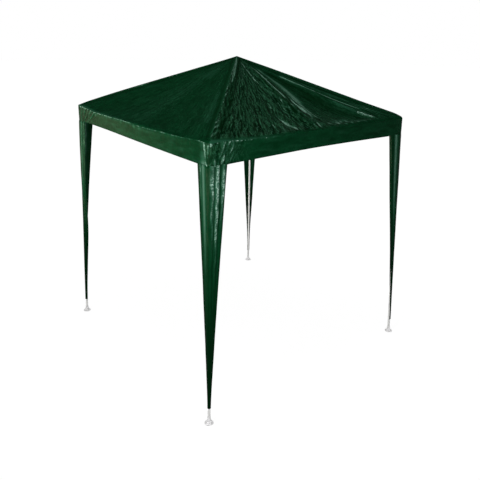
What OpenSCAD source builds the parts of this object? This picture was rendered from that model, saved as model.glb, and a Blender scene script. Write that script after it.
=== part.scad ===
// Push-together garden gazebo: tube frame, moulded connectors and feet, sewn cover.
// Millimetres, Z up, origin on the ground at the middle of the four feet, front at -Y.

/* [Overall] */
// Distance between the leg centre lines at the ground
foot_spacing = 2000; // [1600:10:2600]
// Height of the eave rail centre lines above the ground
eave_height = 1928; // [1700:1:2300]
// Rise of the rib centre lines from the eave corners to the crown
roof_rise = 439; // [300:1:650]
// Outward lean of a leg towards each of its two sides, degrees
leg_lean = 1.9; // [0.2:0.1:3]

/* [Tubes] */
// Outer diameter of every frame tube
tube_d = 19; // [16:0.5:25]
// Wall thickness of the tubes
tube_wall = 0.8; // [0.6:0.1:1.5]
// Length of a swaged tube end inside the next tube
swage_len = 50; // [30:1:70]
// Length of the cone between the swaged end and the full tube
swage_neck = 4; // [2:0.5:8]
// Radial play of a tube in its socket and of a swaged end in its tube
fit_gap = 0.15; // [0.1:0.01:0.3]

/* [Connectors] */
// Wall thickness of the moulded sockets
socket_wall = 2.2; // [1.5:0.1:4]
// Height of the bead around the mouth of a socket
bead_h = 0.8; // [0.4:0.1:2]
// Length of the bead along the socket
bead_len = 7; // [4:0.5:15]
// Depth of a tube inside its socket
socket_depth = 45; // [30:1:70]
// Distance from the centre of a connector to the ends of its tubes
tube_stop = 34; // [30:1:50]
// Radius of the knuckle in the middle of a corner connector
knuckle_r = 13.5; // [13.5:0.5:18]
// Thickness of the webs between the sockets
web_t = 4; // [2:0.5:6]
// Radius of the boss in the middle of the crown
boss_r = 22; // [18:0.5:30]

/* [Feet] */
// Diameter of the base disc of a foot
foot_d = 62; // [50:1:90]
// Thickness of the base disc
foot_disc_t = 3; // [2:0.5:6]
// Height of the sleeve above the ground
foot_h = 46; // [35:1:70]
// Wall thickness of the sleeve
foot_wall = 1.8; // [1.2:0.1:3]
// Height of the sleeve floor above the ground
foot_floor = 6; // [5:0.5:10]
// Thickness of the four fins
fin_t = 3; // [2:0.5:5]
// Diameter of a peg hole in the base disc
peg_hole_d = 8; // [5:0.5:10]
// Diameter of the circle that the peg holes lie on
peg_circle_d = 44; // [40:1:60]

/* [Cover] */
// Thickness of the cover sheet
cloth_t = 1.2; // [0.8:0.1:3]
// Room between the cover and the frame
cloth_gap = 0.5; // [0.4:0.1:3]
// Room between two cover panels along a seam
seam_gap = 0.2; // [0.1:0.1:0.5]
// Height of the valance below the eave
valance_h = 130; // [80:1:250]
// Room between the valance and the corner connectors
valance_room = 6; // [0:0.5:20]
// How far the valance waves outwards at its hem
valance_wave = 4; // [0:0.5:10]
// Width of a leg drape at the valance, on each side of the corner
drape_top_w = 124; // [60:1:250]
// Width of a leg drape at its lower end
drape_end_w = 18; // [17:1:60]
// How hollow the free edges of a drape are, 1 being straight
drape_taper = 1.25; // [1:0.05:2]
// Height of the lower end of the drapes above the ground
drape_end_z = 120; // [80:1:600]
// Depth of the folds in the drapes
drape_fold = 9; // [0:0.5:15]
// How far the roof panels sag between the ribs
roof_sag = 30; // [0:1:60]
// Height of the radial folds in the crinkled front panel
fold_front = 8; // [0:0.5:18]
// Height of the long ridge from the crown to the middle of the front eave
ridge_front = 20; // [0:1:30]
// Depth of the slack hollow beside that ridge
hollow_front = 36; // [0:1:60]
// Height of the radial folds in the taut left panel
fold_left = 4; // [0:0.5:18]
// Height of the radial folds in the two other panels
fold_rest = 8; // [0:0.5:18]

/* [Hidden] */
$fn = 64;
tube_r = tube_d / 2;
swage_r = tube_r - tube_wall - fit_gap;
bore_r = tube_r + fit_gap;
socket_r = bore_r + socket_wall;
bead_r = socket_r + bead_h;
mouth = tube_stop + socket_depth;
half_foot = foot_spacing / 2;
half = half_foot - eave_height * tan(leg_lean);
leg_tilt = atan(sqrt(2) * tan(leg_lean));
leg_axis = eave_height / cos(leg_tilt);
leg_end = leg_axis - foot_floor;
leg_joint = (tube_stop + leg_end) / 2;
slope = atan(roof_rise / half);
rib_run = half * sqrt(2);
rib_tilt = atan(roof_rise / rib_run);
rib_axis = sqrt(rib_run * rib_run + roof_rise * roof_rise);
rib_joint = rib_axis / 2;
crown_z = eave_height + roof_rise;
roof_off = bead_r + cloth_gap;
side_off = bead_r + mouth * tan(leg_lean) + cloth_gap + valance_room;
side_in = half + side_off;
side_out = side_in + cloth_t;
eave_rest = half / side_out;
apex_z = crown_z + roof_off / cos(slope);
cloth_v = cloth_t / cos(slope);
eave_in_z = apex_z - side_out * tan(slope);
valance_top = eave_in_z - seam_gap;
hem_z = valance_top - valance_h;
drape_top = hem_z - seam_gap;
boss_top = (roof_off / cos(slope)) - (boss_r + 3 * cloth_gap) * tan(slope);
roof_rows = 14;
roof_cols = 20;
val_cols = 24;
drape_rows = 9;
drape_cols = 6;

// Quarter turns from the back right corner
function corner_turn(c) = c == "br" ? 0 : c == "bl" ? 90 : c == "fl" ? 180 : 270;

// Quarter turns from the front side
function side_turn(s) = s == "front" ? 0 : s == "right" ? 90 : s == "back" ? 180 : 270;

// Axis of a leg, from the middle of its corner connector downwards
module leg_place() {
  translate([half, half, eave_height])
    rotate([0, 180 - leg_tilt, 45])
      children();
}

// Axis of a rib, from the middle of its corner connector up to the crown
module rib_place() {
  translate([half, half, eave_height])
    rotate([0, 90 - rib_tilt, 225])
      children();
}

// Plain tube along Z from 0 to len
module plain_tube(len) {
  difference() {
    cylinder(r = tube_r, h = len);
    translate([0, 0, -1])
      cylinder(r = tube_r - tube_wall, h = len + 2);
  }
}

// Tube along Z from 0 to len with a swaged end below 0
module swaged_tube(len) {
  rotate_extrude()
    polygon([
      [swage_r, -swage_len],
      [swage_r, 0],
      [tube_r, swage_neck],
      [tube_r, len],
      [tube_r - tube_wall, len],
      [tube_r - tube_wall, swage_neck],
      [swage_r - tube_wall, 0],
      [swage_r - tube_wall, -swage_len]
    ]);
}

// Outside of a socket along Z with the bead at its mouth
module socket_body(shrink) {
  cylinder(r = socket_r - shrink, h = mouth);
  translate([0, 0, mouth - bead_len])
    cylinder(r = bead_r, h = bead_len);
}

// Inside of a socket, down to the stop
module socket_bore() {
  translate([0, 0, tube_stop])
    cylinder(r = bore_r, h = socket_depth + 20);
}

// Web between the leg socket and one eave socket, in the X-Z plane
module web() {
  rotate([90, 0, 0])
    translate([0, 0, -web_t / 2])
      linear_extrude(height = web_t)
        polygon([
          [0, 0],
          [-(mouth - bead_len - 4), -2],
          [-(mouth - bead_len - 4), -socket_r + 2],
          [-socket_r - 8, -socket_r - 8],
          [-socket_r + 2, -(mouth - bead_len - 4)],
          [-2, -(mouth - bead_len - 4)]
        ]);
}

// Knuckle of a corner connector with flats under the cover
module knuckle() {
  difference() {
    sphere(r = knuckle_r);
    translate([bead_r, -50, -50])
      cube(100);
    translate([-50, bead_r, -50])
      cube(100);
    rotate([0, slope, 0])
      translate([-50, -50, bead_r])
        cube(100);
    rotate([-slope, 0, 0])
      translate([-50, -50, bead_r])
        cube(100);
  }
}

module corner(c) {
  color("white")
    rotate([0, 0, corner_turn(c)])
      difference() {
        union() {
          translate([half, half, eave_height]) {
            knuckle();
            rotate([0, -90, 0])
              socket_body(0);
            rotate([90, 0, 0])
              socket_body(0);
            web();
            rotate([0, 0, -90])
              mirror([1, 0, 0])
                web();
          }
          leg_place()
            socket_body(0.3);
          rib_place()
            socket_body(0.6);
        }
        translate([half, half, eave_height]) {
          rotate([0, -90, 0])
            socket_bore();
          rotate([90, 0, 0])
            socket_bore();
        }
        leg_place()
          socket_bore();
        rib_place()
          socket_bore();
      }
}

module crown_hub() {
  color("white")
    difference() {
      union() {
        translate([0, 0, crown_z - socket_r - 6])
          cylinder(r = boss_r, h = socket_r + 6 + boss_top);
        translate([0, 0, crown_z + boss_top])
          cylinder(r1 = boss_r, r2 = boss_r - 15, h = 15 * tan(slope));
        for (a = [45, 135, 225, 315])
          translate([0, 0, crown_z])
            rotate([0, 90 + rib_tilt, a])
              socket_body(0);
      }
      for (a = [45, 135, 225, 315])
        translate([0, 0, crown_z])
          rotate([0, 90 + rib_tilt, a])
            socket_bore();
      translate([0, 0, crown_z - socket_r - 7])
        cylinder(r = boss_r - 14, h = 6);
    }
}

module rib_lower(c) {
  color("white")
    rotate([0, 0, corner_turn(c)])
      rib_place()
        translate([0, 0, tube_stop])
          plain_tube(rib_joint - tube_stop);
}

module rib_upper(c) {
  color("white")
    rotate([0, 0, corner_turn(c)])
      rib_place()
        translate([0, 0, rib_joint])
          swaged_tube(rib_axis - tube_stop - rib_joint);
}

module eave_a(s) {
  color("white")
    rotate([0, 0, side_turn(s)])
      translate([-half + tube_stop, -half, eave_height])
        rotate([0, 90, 0])
          plain_tube(half - tube_stop);
}

module eave_b(s) {
  color("white")
    rotate([0, 0, side_turn(s)])
      translate([0, -half, eave_height])
        rotate([0, 90, 0])
          swaged_tube(half - tube_stop);
}

module leg_upper(c) {
  color("white")
    rotate([0, 0, corner_turn(c)])
      leg_place()
        translate([0, 0, tube_stop])
          plain_tube(leg_joint - tube_stop);
}

module leg_lower(c) {
  color("white")
    rotate([0, 0, corner_turn(c)])
      leg_place()
        translate([0, 0, leg_joint])
          swaged_tube(leg_end - leg_joint);
}

// One fin of a foot, in the X-Z plane of the leg axis measured up from the ground
module fin() {
  top = foot_h - 5;
  root = bore_r + 0.6;
  tip = foot_d / 2 - 2;
  span = tip - bore_r - foot_wall;
  rotate([90, 0, 0])
    translate([0, 0, -fin_t / 2])
      linear_extrude(height = fin_t)
        polygon(concat(
          [[root, 1.9], [tip, 1.9]],
          [for (i = [0 : 6]) let (u = i / 6)
            [tip - span * u, 5.5 + (top - 5.5) * pow(u, 2.2)]],
          [[root, top]]
        ));
}

// Leg axis turned to point upwards from the ground
module foot_place() {
  translate([half_foot, half_foot, 0])
    rotate([0, -leg_tilt, 45])
      children();
}

module foot(c) {
  color("lightgray")
    rotate([0, 0, corner_turn(c)])
      difference() {
        union() {
          translate([half_foot, half_foot, 0])
            cylinder(d = foot_d, h = foot_disc_t);
          foot_place() {
            translate([0, 0, 1.9])
              cylinder(r = bore_r + foot_wall, h = foot_h - 1.9);
            for (a = [45, 135, 225, 315])
              rotate([0, 0, a])
                fin();
          }
        }
        foot_place()
          translate([0, 0, foot_floor])
            cylinder(r = bore_r, h = foot_h);
        for (a = [45, 135, 225, 315])
          translate([half_foot + peg_circle_d / 2 * cos(a), half_foot + peg_circle_d / 2 * sin(a), -1])
            cylinder(d = peg_hole_d, h = foot_disc_t + 2);
      }
}

// Two triangles for each cell of a grid of points, rows by cols, starting at index o
function grid_faces(o, rows, cols, flip) = [
  for (i = [0 : rows - 1], j = [0 : cols - 1])
    let (a = o + i * (cols + 1) + j, b = a + 1, c = a + cols + 1, d = c + 1)
      each (flip ? [[a, b, c], [b, d, c]] : [[a, c, b], [b, c, d]])
];

// Closed skin between two grids of the same size, the first outside
function shell_faces(rows, cols) =
  let (n = (rows + 1) * (cols + 1), w = cols + 1)
  concat(
    grid_faces(0, rows, cols, false),
    grid_faces(n, rows, cols, true),
    [for (j = [0 : cols - 1]) each [[j, j + 1, n + j], [j + 1, n + j + 1, n + j]]],
    [for (j = [0 : cols - 1]) let (a = rows * w + j)
      each [[a, n + a, a + 1], [a + 1, n + a, n + a + 1]]],
    [for (i = [0 : rows - 1]) let (a = i * w)
      each [[a, n + a, a + w], [a + w, n + a, n + a + w]]],
    [for (i = [0 : rows - 1]) let (a = i * w + cols)
      each [[a, a + w, n + a], [a + w, n + a + w, n + a]]]
  );

// Rises from nothing at the crown to 1 some way down and back to nothing over the eave rail
function slack(s) = 24.5 * pow(s, 3) * pow(max(0, 1 - s / eave_rest), 1.75);

function hump(t, middle, width) = exp(-pow((t - middle) / width, 2));

// Height of the inside of a roof panel: s from crown to eave, t from hip to hip
function roof_z(s, t, fold, loose) =
  apex_z - s * side_out * tan(slope)
  - roof_sag * (1 - t * t) * slack(s)
  + loose * (ridge_front * hump(t, 0, 0.12) - hollow_front * hump(t, 0.48, 0.2)) * (1 - pow(t, 6)) * slack(s)
  + fold * (1 - pow(t, 4)) * slack(s) * sin(900 * t + 70 * s) * (0.55 + 0.45 * cos(400 * t));

function roof_points(lift, fold, loose) = [
  for (i = [0 : roof_rows], j = [0 : roof_cols])
    let (s = 0.004 + 0.996 * pow(i / roof_rows, 1.1), t = 2 * j / roof_cols - 1)
      [t * (s * side_out - seam_gap), -s * side_out, roof_z(s, t, fold, loose) + lift]
];

module roof_panel(s) {
  fold = s == "front" ? fold_front : s == "left" ? fold_left : fold_rest;
  loose = s == "front" ? 1 : 0;
  color("darkgreen")
    rotate([0, 0, side_turn(s)])
      polyhedron(
        points = concat(roof_points(cloth_v, fold, loose), roof_points(0, fold, loose)),
        faces = shell_faces(roof_rows, roof_cols)
      );
}

// Outward wave of a valance: u along it, v from eave to hem
function val_wave(u, v) = valance_wave * v * sin(180 * u) * (0.5 - 0.5 * cos(360 * 5 * u));

function val_points(out) = [
  for (i = [0 : 3], j = [0 : val_cols])
    let (u = j / val_cols, v = i / 3)
      [(2 * u - 1) * (side_in + out - seam_gap / 2), -(side_in + out + val_wave(u, v)), valance_top - v * valance_h]
];

module valance(s) {
  color("green")
    rotate([0, 0, side_turn(s)])
      polyhedron(
        points = concat(val_points(cloth_t), val_points(0)),
        faces = shell_faces(3, val_cols)
      );
}

// Distance of the inside of a drape from the middle, at height z
function drape_in(z) = side_in + (hem_z - z) * tan(leg_lean);

function drape_w(v) = drape_end_w + (drape_top_w - drape_end_w) * pow(1 - v, drape_taper);

// Outward fold of a drape: u from the corner to the free edge, v from top to end
function drape_wave(u, v) =
  drape_fold * (0.5 - 0.5 * cos(540 * u)) * (1 - 0.85 * v) * (0.35 + 0.65 * min(1, 4 * v)) * (0.75 + 0.25 * cos(300 * v + 120 * u));

// A drape on the right side of the back right corner, flipped for the other side
function drape_points(out, flip) = [
  for (i = [0 : drape_rows], j = [0 : drape_cols])
    let (
      v = i / drape_rows,
      u = j / drape_cols,
      z = drape_top - v * (drape_top - drape_end_z),
      a = drape_in(z),
      p = a + out + drape_wave(u, v),
      q = a + (1 - u) * (out - seam_gap / 2) - u * drape_w(v)
    )
      flip ? [q, p, z] : [p, q, z]
];

module drape(c, flip) {
  color("green")
    rotate([0, 0, corner_turn(c)])
      polyhedron(
        points = flip
          ? concat(drape_points(0, true), drape_points(cloth_t, true))
          : concat(drape_points(cloth_t, false), drape_points(0, false)),
        faces = shell_faces(drape_rows, drape_cols)
      );
}

crown_hub();
rib_upper("fl");  // rib_upper_fl
rib_upper("fr");  // rib_upper_fr
rib_upper("br");  // rib_upper_br
rib_upper("bl");  // rib_upper_bl
rib_lower("fl");  // rib_lower_fl
rib_lower("fr");  // rib_lower_fr
rib_lower("br");  // rib_lower_br
rib_lower("bl");  // rib_lower_bl
corner("fl");  // corner_fl
corner("fr");  // corner_fr
corner("br");  // corner_br
corner("bl");  // corner_bl
eave_a("front");  // eave_front_a
eave_a("right");  // eave_right_a
eave_a("back");  // eave_back_a
eave_a("left");  // eave_left_a
eave_b("front");  // eave_front_b
eave_b("right");  // eave_right_b
eave_b("back");  // eave_back_b
eave_b("left");  // eave_left_b
leg_upper("fl");  // leg_upper_fl
leg_upper("fr");  // leg_upper_fr
leg_upper("br");  // leg_upper_br
leg_upper("bl");  // leg_upper_bl
leg_lower("fl");  // leg_lower_fl
leg_lower("fr");  // leg_lower_fr
leg_lower("br");  // leg_lower_br
leg_lower("bl");  // leg_lower_bl
foot("fl");  // foot_fl
foot("fr");  // foot_fr
foot("br");  // foot_br
foot("bl");  // foot_bl
roof_panel("front");  // roof_front
roof_panel("right");  // roof_right
roof_panel("back");  // roof_back
roof_panel("left");  // roof_left
valance("front");  // valance_front
valance("right");  // valance_right
valance("back");  // valance_back
valance("left");  // valance_left
drape("fl", true);  // drape_fl_front
drape("fl", false);  // drape_fl_left
drape("fr", false);  // drape_fr_front
drape("fr", true);  // drape_fr_right
drape("br", false);  // drape_br_right
drape("br", true);  // drape_br_back
drape("bl", false);  // drape_bl_back
drape("bl", true);  // drape_bl_left
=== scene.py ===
import math
from collections import namedtuple

import bmesh
import bpy
from bpy.props import FloatProperty, FloatVectorProperty, PointerProperty
from bpy.types import Operator, Panel, PropertyGroup
from mathutils import Matrix, Vector, noise


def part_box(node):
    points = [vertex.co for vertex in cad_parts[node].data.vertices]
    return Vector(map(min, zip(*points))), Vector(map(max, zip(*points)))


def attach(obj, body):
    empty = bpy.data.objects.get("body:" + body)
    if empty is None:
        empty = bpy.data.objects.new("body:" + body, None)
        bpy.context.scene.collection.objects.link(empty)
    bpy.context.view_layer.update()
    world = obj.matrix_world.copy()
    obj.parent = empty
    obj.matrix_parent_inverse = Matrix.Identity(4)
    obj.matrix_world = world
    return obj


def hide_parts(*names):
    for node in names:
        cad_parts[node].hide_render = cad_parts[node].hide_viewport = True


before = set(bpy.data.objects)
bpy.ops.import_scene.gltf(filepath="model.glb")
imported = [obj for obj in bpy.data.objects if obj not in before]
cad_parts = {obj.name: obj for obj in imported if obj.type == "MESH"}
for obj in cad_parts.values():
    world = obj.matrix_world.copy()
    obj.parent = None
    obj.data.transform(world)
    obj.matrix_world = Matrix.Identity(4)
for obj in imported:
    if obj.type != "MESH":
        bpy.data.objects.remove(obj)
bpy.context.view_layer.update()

bl_info = {
    "name": "Gazebo dressing",
    "version": (1, 0, 0),
    "blender": (4, 5, 0),
    "location": "View3D > Sidebar > Gazebo",
    "description": "Hangs the sheet cover on the gazebo's tube frame and finishes its tubes and mouldings",
    "category": "Object",
}

SIDES = ("front", "right", "back", "left")
CORNERS = ("br", "bl", "fl", "fr")
MM = 0.001

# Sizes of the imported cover, legs and rails, read from their solids
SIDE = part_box("valance_front")[1][0]
HEM_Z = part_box("valance_front")[0][2]
EAVE_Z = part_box("roof_front")[0][2]
CROWN_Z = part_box("roof_front")[1][2]
DRAPE_END_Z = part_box("drape_fl_front")[0][2]
LEG_FOOT = (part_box("foot_fr")[0][0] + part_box("foot_fr")[1][0]) / 2
RAIL_OUT = -(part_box("eave_front_a")[0][1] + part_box("eave_front_a")[1][1]) / 2
# Thickness of the sheet's solids, outward lean of the legs, and how far off a leg's middle its drape bends
SOLID_SHEET = 1.2 * MM
LEG_LEAN = math.radians(1.9)
LEG_WRAP = 12.5 * MM
# Points of a sheet that lie closer than this are sewn together
SEWN = 0.02 * MM
# Shifts that keep the patterns of the four sides apart, on the cloth and on the fan of creases
CLOTH_STEP = 3.0
FAN_STEP = 4


class CoverSizes(PropertyGroup):
    """Sizes of the sewn cover."""
    half_width: FloatProperty(
        name="Half width", description="Middle of the gazebo to the outside of the valance",
        default=SIDE, unit="LENGTH")
    thickness: FloatProperty(
        name="Sheet", description="Thickness of the woven sheet", default=0.7 * MM, unit="LENGTH")
    eave_radius: FloatProperty(
        name="Eave bend", description="Radius of the sheet over the eave rail", default=7 * MM, unit="LENGTH")
    hip_radius: FloatProperty(
        name="Hip bend", description="Radius of the sheet over the eave at the corners",
        default=24 * MM, unit="LENGTH")
    corner_radius: FloatProperty(
        name="Corner bend", description="Radius of the sheet round a corner connector",
        default=28 * MM, unit="LENGTH")
    hem_band: FloatProperty(
        name="Hem", description="Height of the turned hem", default=18 * MM, unit="LENGTH")
    drape_top: FloatProperty(
        name="Drape top", description="Width of a drape at the valance, each side of the corner",
        default=126 * MM, unit="LENGTH")
    drape_end: FloatProperty(
        name="Drape end", description="Width of a drape at its lower end, each side of the corner",
        default=17 * MM, unit="LENGTH")


class CoverFolds(PropertyGroup):
    """How far the sheet leaves its plain planes."""
    sag: FloatProperty(
        name="Sag", description="Drop of a roof panel between its ribs", default=24 * MM, unit="LENGTH")
    crease: FloatProperty(
        name="Creases", description="Scale of the creases that fan out from the crown", default=1.0)
    crumple: FloatProperty(
        name="Crumple", description="Height of the small crumples in the loose panel",
        default=6 * MM, unit="LENGTH")
    pucker: FloatProperty(
        name="Puckers", description="Height of the puckers along the eave seam",
        default=1.6 * MM, unit="LENGTH")
    gather: FloatProperty(
        name="Gathers", description="Depth of the upright folds at the corners",
        default=5 * MM, unit="LENGTH")


class FinishColours(PropertyGroup):
    """Colours of the finishes."""
    sheet: FloatVectorProperty(
        name="Sheet", description="Woven sheet", subtype="COLOR", size=3,
        default=(0.0006, 0.0231, 0.0068))
    # Painted sheen on the lit crests of folds
    sheen: FloatVectorProperty(
        name="Sheen", description="Crests of the sheet's folds", subtype="COLOR", size=3,
        default=(0.0288, 0.1205, 0.0705))
    blotch: FloatVectorProperty(
        name="Blotches", description="Paler blotches of the sheet", subtype="COLOR", size=3,
        default=(0.0018, 0.0321, 0.0109))
    # Painted highlight on the lit side of small crumples
    crumple_highlight: FloatVectorProperty(
        name="Furrow", description="Lit side of small crumples", subtype="COLOR", size=3,
        default=(0.0128, 0.0545, 0.0269))
    # Painted shade in deep folds, hollows and between creases; the drapes also darken toward their low ends
    shade: FloatVectorProperty(
        name="Shade", description="Soiled low ends and deep folds", subtype="COLOR", size=3,
        default=(0.0003, 0.0109, 0.0023))
    # Painted whitish highlights and glints on creases, seams and corner tips
    crease: FloatVectorProperty(
        name="Crease", description="Whitened creases of the sheet", subtype="COLOR", size=3,
        default=(0.2436, 0.3718, 0.3077))
    tube: FloatVectorProperty(
        name="Tube", description="Powder coat of the tubes", subtype="COLOR", size=3,
        default=(0.86, 0.86, 0.85))
    dirt: FloatVectorProperty(
        name="Dirt", description="Ground dirt on the tubes", subtype="COLOR", size=3,
        default=(0.42, 0.42, 0.37))
    moulding: FloatVectorProperty(
        name="Mouldings", description="Connectors and crown", subtype="COLOR", size=3,
        default=(0.74, 0.75, 0.74))
    foot: FloatVectorProperty(
        name="Feet", description="Moulded feet", subtype="COLOR", size=3,
        default=(0.93, 0.925, 0.93))


class StageSizes(PropertyGroup):
    """Camera and light."""
    azimuth: FloatProperty(
        name="Azimuth", description="Direction of the view", default=math.radians(-38.996), subtype="ANGLE")
    elevation: FloatProperty(
        name="Elevation", description="Downward tilt of the view", default=math.radians(17.648),
        subtype="ANGLE")
    roll: FloatProperty(
        name="Roll", description="Turn of the camera about its own axis", default=math.radians(0.864),
        subtype="ANGLE")
    place: FloatVectorProperty(
        name="Place", description="Where the camera stands", size=3, unit="LENGTH",
        default=(-2.838, -3.573, 2.606))
    focal: FloatProperty(
        name="Focal length", description="In parts of the picture's width", default=550.546 / 480)
    shift: FloatProperty(name="Shift", description="Upward shift of the lens", default=-0.0792)
    light: FloatProperty(name="Room light", description="Strength of the even light", default=0.75)


# Shader graphs

class Sock:
    """A shader socket that takes part in Python expressions."""

    def __init__(self, graph, socket):
        self.graph, self.socket = graph, socket

    def _do(self, operation, first, second):
        return self.graph.node("ShaderNodeMath", {"operation": operation}, {0: first, 1: second})

    def __add__(self, other):
        return self._do("ADD", self, other)

    __radd__ = __add__

    def __mul__(self, other):
        return self._do("MULTIPLY", self, other)

    __rmul__ = __mul__

    def __sub__(self, other):
        return self._do("SUBTRACT", self, other)

    def __rsub__(self, other):
        return self._do("SUBTRACT", other, self)


class Graph:
    """The node tree of a material or of the world."""

    def __init__(self, owner):
        owner.use_nodes = True
        self.owner, self.tree = owner, owner.node_tree

    def found(self, kind):
        """The node of a kind that the tree began with."""
        return next(n for n in self.tree.nodes if n.bl_idname == kind)

    def fill(self, node, inputs):
        """Sets or links a node's sockets."""
        for key, value in inputs.items():
            if isinstance(value, Sock):
                self.tree.links.new(value.socket, node.inputs[key])
            else:
                node.inputs[key].default_value = value

    def node(self, kind, settings=None, inputs=None, out=0):
        """A new node: its type, its settings, then the values or links of its sockets."""
        made = self.tree.nodes.new(kind)
        for key, value in (settings or {}).items():
            if key == "stops":
                set_stops(made.color_ramp, value)
            else:
                setattr(made, key, value)
        self.fill(made, inputs or {})
        return Sock(self, made.outputs[out])

    def coords(self, uv=None):
        if uv:
            return self.node("ShaderNodeUVMap", {"uv_map": uv})
        return self.node("ShaderNodeTexCoord", out="Object")

    def part(self, vector, axis):
        return self.node("ShaderNodeSeparateXYZ", None, {0: vector}, out=axis)

    def scaled(self, vector, scale):
        return self.node("ShaderNodeVectorMath", {"operation": "MULTIPLY"}, {0: vector, 1: scale})

    def noise(self, vector, scale, detail, rough, distortion=0.0):
        return self.node("ShaderNodeTexNoise", None, {
            "Vector": vector, "Scale": scale, "Detail": detail, "Roughness": rough, "Distortion": distortion})

    def ramp(self, factor, *stops):
        return self.node("ShaderNodeValToRGB", {"stops": stops}, {"Fac": factor})

    def sine(self, value):
        return self.node("ShaderNodeMath", {"operation": "SINE"}, {0: value})

    def clamped(self, value):
        return self.node("ShaderNodeMath", {"operation": "ADD", "use_clamp": True}, {0: value, 1: 0.0})

    def value(self, name):
        return self.node("ShaderNodeAttribute", {"attribute_name": name}, out="Fac")

    def blend(self, factor, first, second):
        return self.node("ShaderNodeMix", {"data_type": "RGBA"}, {0: factor, 6: first, 7: second}, out=2)

    def bump(self, height, strength=1.0, distance=1.0):
        return self.node("ShaderNodeBump", None,
                         {"Height": height, "Strength": strength, "Distance": distance})

    def feed(self, **sockets):
        """Sets or links the shader's sockets, and gives the material."""
        shader = self.found("ShaderNodeBsdfPrincipled")
        self.fill(shader, {key.replace("_", " "): value for key, value in sockets.items()})
        return self.owner


def set_stops(ramp, stops):
    """Gives a colour ramp its stops, each a place and a level of grey."""
    while len(ramp.elements) < len(stops):
        ramp.elements.new(0.5)
    for element, (place, level) in zip(ramp.elements, stops):
        element.position = place
        element.color = grey(level)


def grey(level):
    return (level, level, level, 1.0)


def opaque(colour, gain=1.0):
    return tuple(c * gain for c in colour) + (1.0,)


def woven_sheet(name, colours):
    """Woven plastic sheet: tape weave, blotched gloss, crumples, and painted sheen, shade and whitish
    highlights on its folds and creases.
    """
    g = Graph(bpy.data.materials.new(name))
    cloth, fan = g.coords("cloth"), g.coords("fan")
    crinkle, crest = g.value("crinkle"), g.value("crest")
    mottle = g.noise(cloth, scale=52.0, detail=4.0, rough=0.62)
    blotch = g.noise(g.scaled(fan, (9.0, 11.0, 1.0)), scale=1.0, detail=4.0, rough=0.6, distortion=0.6)
    specks = g.noise(cloth, scale=85.0, detail=2.0, rough=0.6)
    streaks = g.noise(g.scaled(fan, (34.0, 9.0, 1.0)), scale=1.0, detail=2.5, rough=0.5, distortion=0.8)

    # Blotched and mottled green; where the sheet is crumpled, painted shade crossed by thin painted highlight
    # lines
    pale = g.ramp(blotch, (0.36, 0.0), (0.64, 1.0))
    dull = g.ramp(mottle, (0.4, 0.0), (0.62, 0.45))
    lines = g.ramp(streaks, (0.42, 0.0), (0.475, 0.12), (0.5, 1.0), (0.525, 0.25), (0.58, 0.05), (0.64, 0.6))
    crumpled = g.blend(lines, opaque(colours.sheet, gain=0.42), opaque(colours.crumple_highlight, gain=1.8))
    green = g.blend(pale, opaque(colours.sheet, gain=0.8), opaque(colours.blotch))
    green = g.blend(dull, green, opaque(colours.sheet, gain=0.7))
    green = g.blend(crinkle * 0.95, green, crumpled)

    # Painted highlights on lit crests, painted shade in folds and painted whitish highlights on creases,
    # which break into glints where the sheet is crumpled
    glints = g.ramp(specks, (0.47, 0.0), (0.57, 1.0))
    colour = g.blend(g.clamped(crest * 0.9 - crinkle * (1 - glints) * 0.3), green, opaque(colours.sheen))
    colour = g.blend(g.clamped(crest * -0.95), colour, opaque(colours.shade))
    broken = g.blend(crinkle, grey(0.28), glints)
    colour = g.blend(g.clamped(crest * 2.0 - 0.75) * broken, colour, opaque(colours.crease))

    two_tapes = 2.6 * MM
    turn = 2 * math.pi / two_tapes
    weave = g.sine(g.part(cloth, "X") * turn) * g.sine(g.part(cloth, "Y") * turn)
    height = crinkle * (streaks * (7 * MM) + specks * (2 * MM)) + mottle * (0.8 * MM) + blotch * (1.5 * MM)
    height = height + weave * (0.03 * MM)
    gloss = g.noise(cloth, scale=11.0, detail=3.0, rough=0.6)
    return g.feed(Base_Color=colour, Roughness=gloss * 0.2 + 0.14, Normal=g.bump(height),
                  Specular_IOR_Level=0.026)


def powder_coat(name, colours):
    """White powder coat with a fine orange peel and a little ground dirt."""
    g = Graph(bpy.data.materials.new(name))
    place = g.coords()
    peel = g.noise(place, scale=900.0, detail=2.0, rough=0.5)
    grime = g.noise(place, scale=14.0, detail=4.0, rough=0.65)
    dirt_top, most, least = 0.35, 0.5, 0.06
    ground = g.node("ShaderNodeMapRange", {"clamp": True},
                    {0: g.part(place, "Z"), 1: 0.0, 2: dirt_top, 3: most, 4: least})
    dirty = ground * g.ramp(grime, (0.42, 0.0), (0.75, 1.0))
    colour = g.blend(dirty, opaque(colours.tube), opaque(colours.dirt))
    return g.feed(Base_Color=colour, Roughness=grime * 0.15 + 0.30,
                  Normal=g.bump(peel, strength=0.25, distance=0.25 * MM))


def moulded(name, colour, rough):
    """Moulded plastic with a spark-eroded grain."""
    g = Graph(bpy.data.materials.new(name))
    place = g.coords()
    grain = g.noise(place, scale=1400.0, detail=2.0, rough=0.6)
    scuffs = g.noise(place, scale=60.0, detail=5.0, rough=0.7)
    wear_and_highlight = g.ramp(scuffs, (0.35, 0.0), (0.75, 1.0))
    shade = g.blend(wear_and_highlight, opaque(colour, gain=0.86), opaque(colour, gain=1.06))
    return g.feed(Base_Color=shade, Roughness=scuffs * 0.2 + rough,
                  Normal=g.bump(grain, strength=0.3, distance=0.15 * MM))


# Sheet modelling

def smooth(x):
    """A soft step from 0 to 1."""
    x = min(max(x, 0.0), 1.0)
    return x * x * (3 - 2 * x)


def hump(x, middle, width):
    """A soft hump, 1 in its middle."""
    return math.exp(-((x - middle) / width) ** 2)


def rumple(x, y, seed):
    """Smooth noise over a sheet, about -1 to 1."""
    return noise.noise(Vector((x, y, seed)))


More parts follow.
